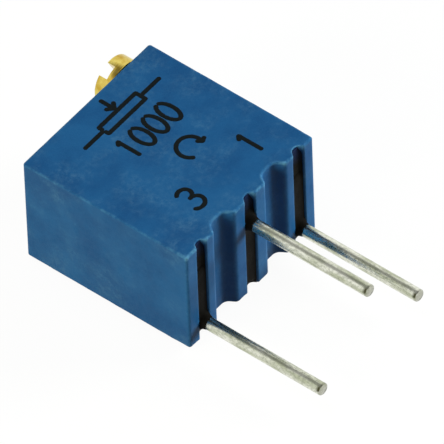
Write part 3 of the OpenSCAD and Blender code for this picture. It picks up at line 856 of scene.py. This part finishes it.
def revolve(name, profile, around):
    points = []
    for k in range(around):
        turn = 2 * math.pi * k / around
        points += [(screwX + r * math.sin(turn), y, screwZ + r * math.cos(turn)) for r, y in profile]
    size = len(profile)
    faces = []
    for k in range(around):
        for j in range(size - 1):
            a, b = k * size + j, (k + 1) % around * size + j
            faces.append((a, b, b + 1, a + 1))
    return tidyMesh(meshFrom(name, points, faces))


def makeScrewBody(material):
    size = screwValues
    screw = addObject("screwBody", revolve("screwBody", screwProfile(), size["around"]))
    half, deep, reach = size["driverWidth"] / 2, size["driverDepth"], 2 * headRadius
    blade = block("driverBlade", (-half, -deep, -reach), (half, deep, reach))
    blade.data.transform(Matrix.Translation(Vector((screwX, screwHigh.y, screwZ)) * mm)
                         @ Matrix.Rotation(math.radians(-size["driverTurn"]), 4, "Y"))
    cut(screw, blade)
    modifier = screw.modifiers.new("slotEdges", "BEVEL")
    modifier.width = size["bevel"] * mm
    modifier.segments = size["bevelSteps"]
    modifier.limit_method = "ANGLE"
    modifier.angle_limit = math.radians(size["bevelAngle"])
    settle(screw)
    finishPiece(screw, "screw", material, size["sharpFrom"], ["adjustment_screw"], True)


def threadTree(material):
    tree, size = geometryTree("wormThread", threadValues["tree"])
    middle = maths(tree, "MULTIPLY", maths(tree, "ADD", size["Core"], size["Crest"]), 0.5)
    tall = maths(tree, "SUBTRACT", size["Crest"], size["Core"])
    climb = maths(tree, "MULTIPLY", size["Lead"], size["Turns"])
    spiral = {"Resolution": threadValues["around"], "Rotations": size["Turns"], "Start Radius": middle,
              "End Radius": middle, "Height": climb, "Reverse": True}
    spiral = output(tree, "GeometryNodeCurveSpiral", spiral)
    spiral = output(tree, "GeometryNodeSetCurveNormal", {"Curve": spiral}, mode="Z_UP")
    tooth = {"Bottom Width": size["Foot Width"], "Top Width": size["Crest Width"],
             "Height": tall, "Offset": 0.0}
    tooth = output(tree, "GeometryNodeCurvePrimitiveQuadrilateral", tooth, mode="TRAPEZOID")
    tooth = output(tree, "GeometryNodeTransform", {"Geometry": tooth, "Rotation": (0, 0, -math.pi / 2)})
    return endTree(tree, sweep(tree, spiral, tooth), material)


def makeThread(material):
    size = threadValues["tree"]
    thread = growFrom(pathObject("wormThread", [[(0, 0, 0), (0, 0, 1)]]), threadTree(material), size)
    # stood along the screw's axis and turned until it meets the wheel half way along;
    # the quarter of the lead makes up for the quarter turn
    start = -math.pi * size["Turns"]
    along = size["Lead"] * (start / (2 * math.pi) + 0.25)
    turned = Matrix.Rotation(start - math.pi / 2, 4, "Y") @ Matrix.Rotation(-math.pi / 2, 4, "X")
    thread.data.transform(Matrix.Translation((screwX * mm, along, screwZ * mm)) @ turned)
    finishPiece(thread, "screw", material, threadValues["sharpFrom"], ["adjustment_screw"])


turnedBrass = brassMaterial()
makeScrewBody(turnedBrass)
print("screw done")
makeThread(turnedBrass)
print("thread done")


# Printed marks: plain strokes of ink on the marked face

markValues = {
    # inputs of the stroke's node tree, and its blots: how far they widen and narrow the line
    "tree": {"Half Width": 0.082 * mm, "Half Thickness": 0.006 * mm, "Point Spacing": 0.012 * mm},
    "blotScale": 9 / mm, "blotSpan": (0.3, 0.7, 0.94, 1.06), "thinnest": 0.02,
    "around": 16, "arcSteps": 20, "lift": 0.0005, "sharpFrom": 60,
    # where the marks stand: left, low, width, height; the turn arrow's middle and radius
    "circuit": (-1.62, 2.02, 4.0, 0.95), "turnArrow": (0.56, -0.49, 0.47),
    "number": "1000", "numberPlace": (-0.94, 0.56, 0.5, 0.98), "numberStep": 0.68,
    "terminals": {"3": (-1.5, -2.42, 0.6, 1.02), "1": (1.6, -2.46, 0.6, 1.02)},
    # ink: scale, detail and roughness of its noises
    "colours": (colour(8, 12, 12), colour(15, 21, 23)), "cloud": (9.0, 4, 0.6), "span": (0.3, 0.7),
    "shine": 0.08, "roughness": (0.3, 0.7, 0.5, 0.7), "fine": (30.0, 2, 0.55), "bump": (0.004, 0.4),
}


def inkMaterial():
    look = markValues
    material, tree, shader, where = newMaterial("markingInk", IOR=1.45, Specular_IOR_Level=look["shine"])
    cloud = grain(tree, where, *look["cloud"])
    paint(tree, shader, look, mottled(tree, cloud, look), cloud, grain(tree, where, *look["fine"]))
    return material


def inkTree(material):
    look = markValues
    tree, size, curve, along, toEnd, ring = strokeTree("inkStroke", look)
    swell = roundedEnd(tree, maths(tree, "MINIMUM", along, toEnd), size["Half Width"])
    blots = between(tree, unevenness(tree, look["blotScale"]), *look["blotSpan"])
    swell = maths(tree, "MAXIMUM", maths(tree, "MULTIPLY", swell, blots), look["thinnest"])
    curve = output(tree, "GeometryNodeSetCurveNormal", {"Curve": curve}, mode="Z_UP")
    spread = {0: size["Half Width"], 1: size["Half Thickness"], 2: 1.0}
    spread = output(tree, "ShaderNodeCombineXYZ", spread)
    ring = output(tree, "GeometryNodeTransform", {"Geometry": ring, "Scale": spread})
    return endTree(tree, sweep(tree, curve, ring, swell), material)


def arc(x, y, radiusX, radiusY, start, end):
    # from one angle to another in degrees, counted from straight up and clockwise
    steps = markValues["arcSteps"]
    turns = [math.radians(start + (end - start) * k / steps) for k in range(steps + 1)]
    return [(x + radiusX * math.sin(t), y + radiusY * math.cos(t)) for t in turns]


def digitStrokes(digit, left, low, wide, tall):
    # drawn in shares of the digit's width and height
    middle, high = left + wide / 2, low + tall
    if digit == "0":
        return [arc(middle, low + tall / 2, wide / 2, tall / 2, 0, 360)]
    if digit == "1":
        return [[(middle - wide * 0.3, high - tall * 0.17), (middle, high), (middle, low)]]
    upper = arc(middle, low + tall * 0.76, wide * 0.44, tall * 0.24, -65, 180)
    lower = arc(middle, low + tall * 0.27, wide * 0.5, tall * 0.27, 0, 250)
    return [upper[:-1] + [(middle - wide * 0.12, low + tall * 0.53)], lower]


def circuitStrokes(left, low, wide, tall):
    # the sign for an adjustable resistor: a box between two leads and an arrow on its middle
    line, rise, reach = low + tall * 0.2, tall * 0.22, wide * 0.48
    start, middle = left + (wide - reach) / 2, left + wide / 2
    end, tip, head = start + reach, line + rise + tall * 0.13, tall * 0.25
    box = [(start, line), (start, line + rise), (end, line + rise), (end, line - rise),
           (start, line - rise), (start, line)]
    return [box, [(left, line), (start, line)], [(end, line), (left + wide, line)],
            [(middle, low + tall * 1.22), (middle, tip)],
            [(middle - head, tip + head), (middle, tip), (middle + head, tip + head)]]


def turnStrokes(x, y, radius):
    # which way to turn: an open circle with an arrow head at its clockwise end
    sweep = arc(x, y, radius, radius, -150, 110)
    end, head = sweep[-1], radius * 0.42
    return [sweep, [(end[0] - head * 0.7, end[1] + head), end,
                    (end[0] + head * 1.15, end[1] + head * 0.45)]]


def makeMarks(material):
    size = markValues
    strokes = circuitStrokes(*size["circuit"])
    left, low, wide, tall = size["numberPlace"]
    for k, digit in enumerate(size["number"]):
        strokes += digitStrokes(digit, left + k * size["numberStep"], low, wide, tall)
    strokes += turnStrokes(*size["turnArrow"])
    for digit, spot in size["terminals"].items():
        strokes += digitStrokes(digit, *spot)
    level = topZ + size["lift"]
    paths = [[(x, y, level) for x, y in stroke] for stroke in strokes]
    marks = growFrom(pathObject("printedMarks", paths), inkTree(material), size["tree"])
    finishPiece(marks, "case", material, size["sharpFrom"])


makeMarks(inkMaterial())
print("marks done")


# Inner parts keep the model's own solids and get their finishes

innerGrain = {"shape": (4, 0.6), "span": (0.3, 0.7), "roughSpread": (-0.08, 0.1), "bump": (0.01, 0.4)}
innerLook = {
    # both colours, metallic, roughness and grain scale, then the nodes
    "wheelNylon": (colour(206, 200, 184), colour(226, 222, 208), 0.0, 0.45, 6.0, ["worm_wheel"]),
    "springAlloy": (colour(190, 152, 92), colour(214, 180, 120), 1.0, 0.3, 12.0, ["wiper_spring"]),
    "alumina": (colour(218, 216, 208), colour(236, 234, 226), 0.0, 0.6, 9.0, ["substrate"]),
    "cermet": (colour(48, 46, 44), colour(28, 28, 30), 0.0, 0.45, 14.0, ["resistor_track"]),
    "silverFilm": (colour(176, 174, 168), colour(206, 204, 198), 1.0, 0.4, 10.0,
                   ["collector_track", "end_pad_1", "end_pad_3"]),
    "solder": (colour(160, 160, 158), colour(196, 196, 192), 1.0, 0.35, 8.0,
               ["solder_joint_1", "solder_joint_2", "solder_joint_3"]),
    "sealRubber": (colour(128, 54, 42), colour(158, 70, 54), 0.0, 0.6, 10.0, ["screw_seal_ring"]),
    "clipSteel": (colour(148, 150, 152), colour(176, 178, 180), 1.0, 0.3, 12.0, ["screw_retaining_clip"]),
}


def dressInnerParts():
    for name, (first, second, metallic, rough, scale, nodes) in innerLook.items():
        material, tree, shader, where = newMaterial(name, Metallic=metallic)
        spread = [rough + change for change in innerGrain["roughSpread"]]
        look = {**innerGrain, "colours": (first, second), "roughness": (*innerGrain["span"], *spread)}
        cloud = grain(tree, where, scale, *look["shape"])
        paint(tree, shader, look, mottled(tree, cloud, look), cloud, cloud)
        for node in nodes:
            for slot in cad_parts[node].material_slots:
                slot.material = material


dressInnerParts()
print("inner parts done")


# Floor, background and lamps

stageValues = {
    "floorSize": 600, "floorDrop": 0.2, "floorSeen": (0.86, 0.86, 0.86, 1),
    "floorBounce": (0.16, 0.16, 0.16, 1), "white": (1, 1, 1, 1), "shadowKept": 0.06,
    # light of the sky, and how it dims overhead for reflections
    "skyLight": (0.06, 0.06, 0.06, 1), "skyOverhead": (0.7, 0.9, 1.0, 0.3),
    # lamps: direction from the object, distance and width in millimetres, power in watts and tint
    "lamps": {
        "sideLamp": ((-0.88, 0.12, 0.34), 90, 50, 0.098, (1.0, 0.97, 0.78)),
        "frontLamp": ((0.78, -0.56, 0.30), 90, 50, 0.153, (0.96, 1.0, 0.94)),
        "topLamp": ((-0.1, 0.3, 1.0), 100, 60, 0.034, (0.9, 0.96, 1.0)),
    },
}


def seenRays(tree):
    # what the camera sees itself, and what it sees itself or by way of a gloss or a glass
    ray = place(tree, "ShaderNodeLightPath").outputs
    direct = ray["Is Camera Ray"]
    glossy = maths(tree, "MAXIMUM", direct, ray["Is Glossy Ray"])
    return direct, maths(tree, "MAXIMUM", glossy, ray["Is Transmission Ray"])


def makeFloor():
    look = stageValues
    half, level = look["floorSize"] / 2, -look["floorDrop"]
    corners = [(-half, -half, level), (half, -half, level), (half, half, level), (-half, half, level)]
    floor = addObject("floor", meshFrom("floor", corners, [(0, 1, 2, 3)]))
    material = bpy.data.materials.new("paleFloor")
    tree = emptyTree(material)
    direct, seen = seenRays(tree)
    shade = blendColour(tree, direct, look["floorBounce"], look["floorSeen"])
    matt = output(tree, "ShaderNodeBsdfDiffuse", {"Color": shade})
    glow = output(tree, "ShaderNodeEmission", {"Color": look["white"]})
    share = maths(tree, "MULTIPLY", seen, 1 - look["shadowKept"])
    mixed = output(tree, "ShaderNodeMixShader", {0: share, 1: matt, 2: glow})
    place(tree, "ShaderNodeOutputMaterial", {"Surface": mixed})
    floor.data.materials.append(material)


def makeSky():
    look = stageValues
    world = bpy.data.worlds.new("studio")
    bpy.context.scene.world = world
    tree = emptyTree(world)
    direct, seen = seenRays(tree)
    upwards = place(tree, "ShaderNodeTexCoord").outputs["Generated"]
    upwards = place(tree, "ShaderNodeSeparateXYZ", {0: upwards}).outputs[2]
    dimmed = between(tree, upwards, *look["skyOverhead"])
    mirrored = blendColour(tree, direct, dimmed, look["white"])
    strength = blendColour(tree, seen, look["skyLight"], mirrored)
    glow = output(tree, "ShaderNodeBackground", {"Color": strength})
    place(tree, "ShaderNodeOutputWorld", {"Surface": glow})


def makeLamps():
    centre = Vector((0, 0, thick / 2)) * mm
    for name, (direction, distance, size, watts, tint) in stageValues["lamps"].items():
        lamp = bpy.data.lights.new(name, "AREA")
        lamp.shape = "DISK"
        lamp.size = size * mm
        lamp.energy = watts
        lamp.color = tint
        obj = addObject(name, lamp)
        obj.visible_camera = False
        obj.visible_glossy = False
        obj.location = centre + Vector(direction).normalized() * distance * mm
        obj.rotation_euler = (centre - obj.location).to_track_quat("-Z", "Y").to_euler()


# Camera

cameraValues = {"azimuth": -49.877, "elevation": 48.373, "roll": -2.267, "distance": 500.0, "lens": 1238.4,
                "rightOfAim": 1.709, "aboveAim": -0.839, "aimHeight": 2.2,
                "nearest": 0.01, "farthest": 10}


def makeCamera():
    size = cameraValues
    turn, rise, roll = (math.radians(size[key]) for key in ("azimuth", "elevation", "roll"))
    back = Vector((math.sin(turn) * math.cos(rise), -math.cos(turn) * math.cos(rise), math.sin(rise)))
    level = Vector((math.cos(turn), math.sin(turn), 0))
    upright = back.cross(level)
    right = level * math.cos(roll) + upright * math.sin(roll)
    up = upright * math.cos(roll) - level * math.sin(roll)
    aim = Vector((0, 0, size["aimHeight"])) + right * size["rightOfAim"] + up * size["aboveAim"]
    camera = bpy.data.cameras.new("camera")
    camera.lens = size["lens"]
    camera.clip_start = size["nearest"]
    camera.clip_end = size["farthest"]
    obj = addObject("camera", camera)
    facing = Matrix((right, up, back)).transposed().to_4x4()
    obj.matrix_world = Matrix.Translation((aim + back * size["distance"]) * mm) @ facing
    bpy.context.scene.camera = obj
    bpy.context.scene.view_settings.view_transform = "Standard"


makeFloor()
makeSky()
makeLamps()
makeCamera()
print("stage done")
